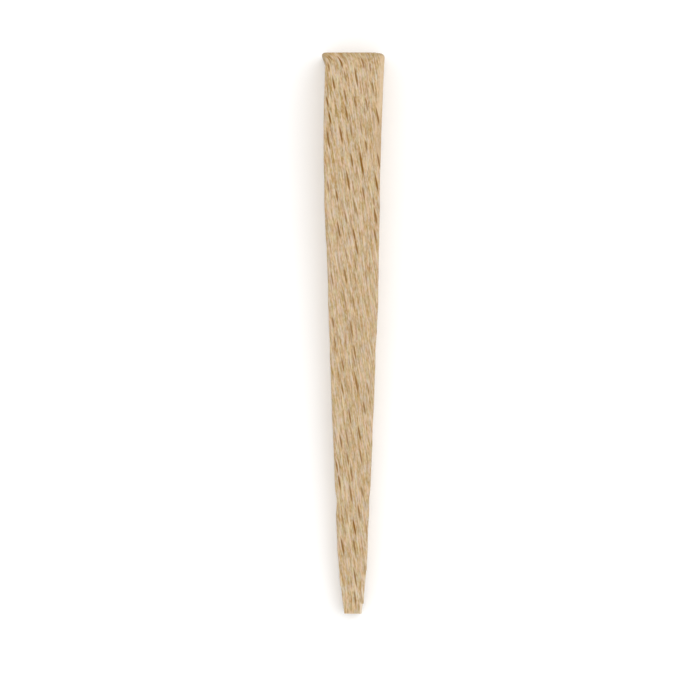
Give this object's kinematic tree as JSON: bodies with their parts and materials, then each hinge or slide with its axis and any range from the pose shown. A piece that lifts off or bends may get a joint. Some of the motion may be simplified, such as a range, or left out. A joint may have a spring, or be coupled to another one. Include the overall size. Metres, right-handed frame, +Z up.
{
  "type": "wooden nail",
  "caption": "Square tapered wooden nail in beech with a blunt four-sided point, its driven head mushroomed to one side, lying on its flat back.",
  "frame": {"origin": "in the flat back face that the nail rests on, halfway between its striking face and its cut tip", "axes": "+Y along the nail towards its head, +X to the right of its front face, +Z up out of the front face"},
  "size_m": [0.0067, 0.06, 0.0062],
  "materials": {
    "beech": "matte"
  },
  "bodies": {
    "root": {"nail": "beech"}
  },
  "joints": []
}
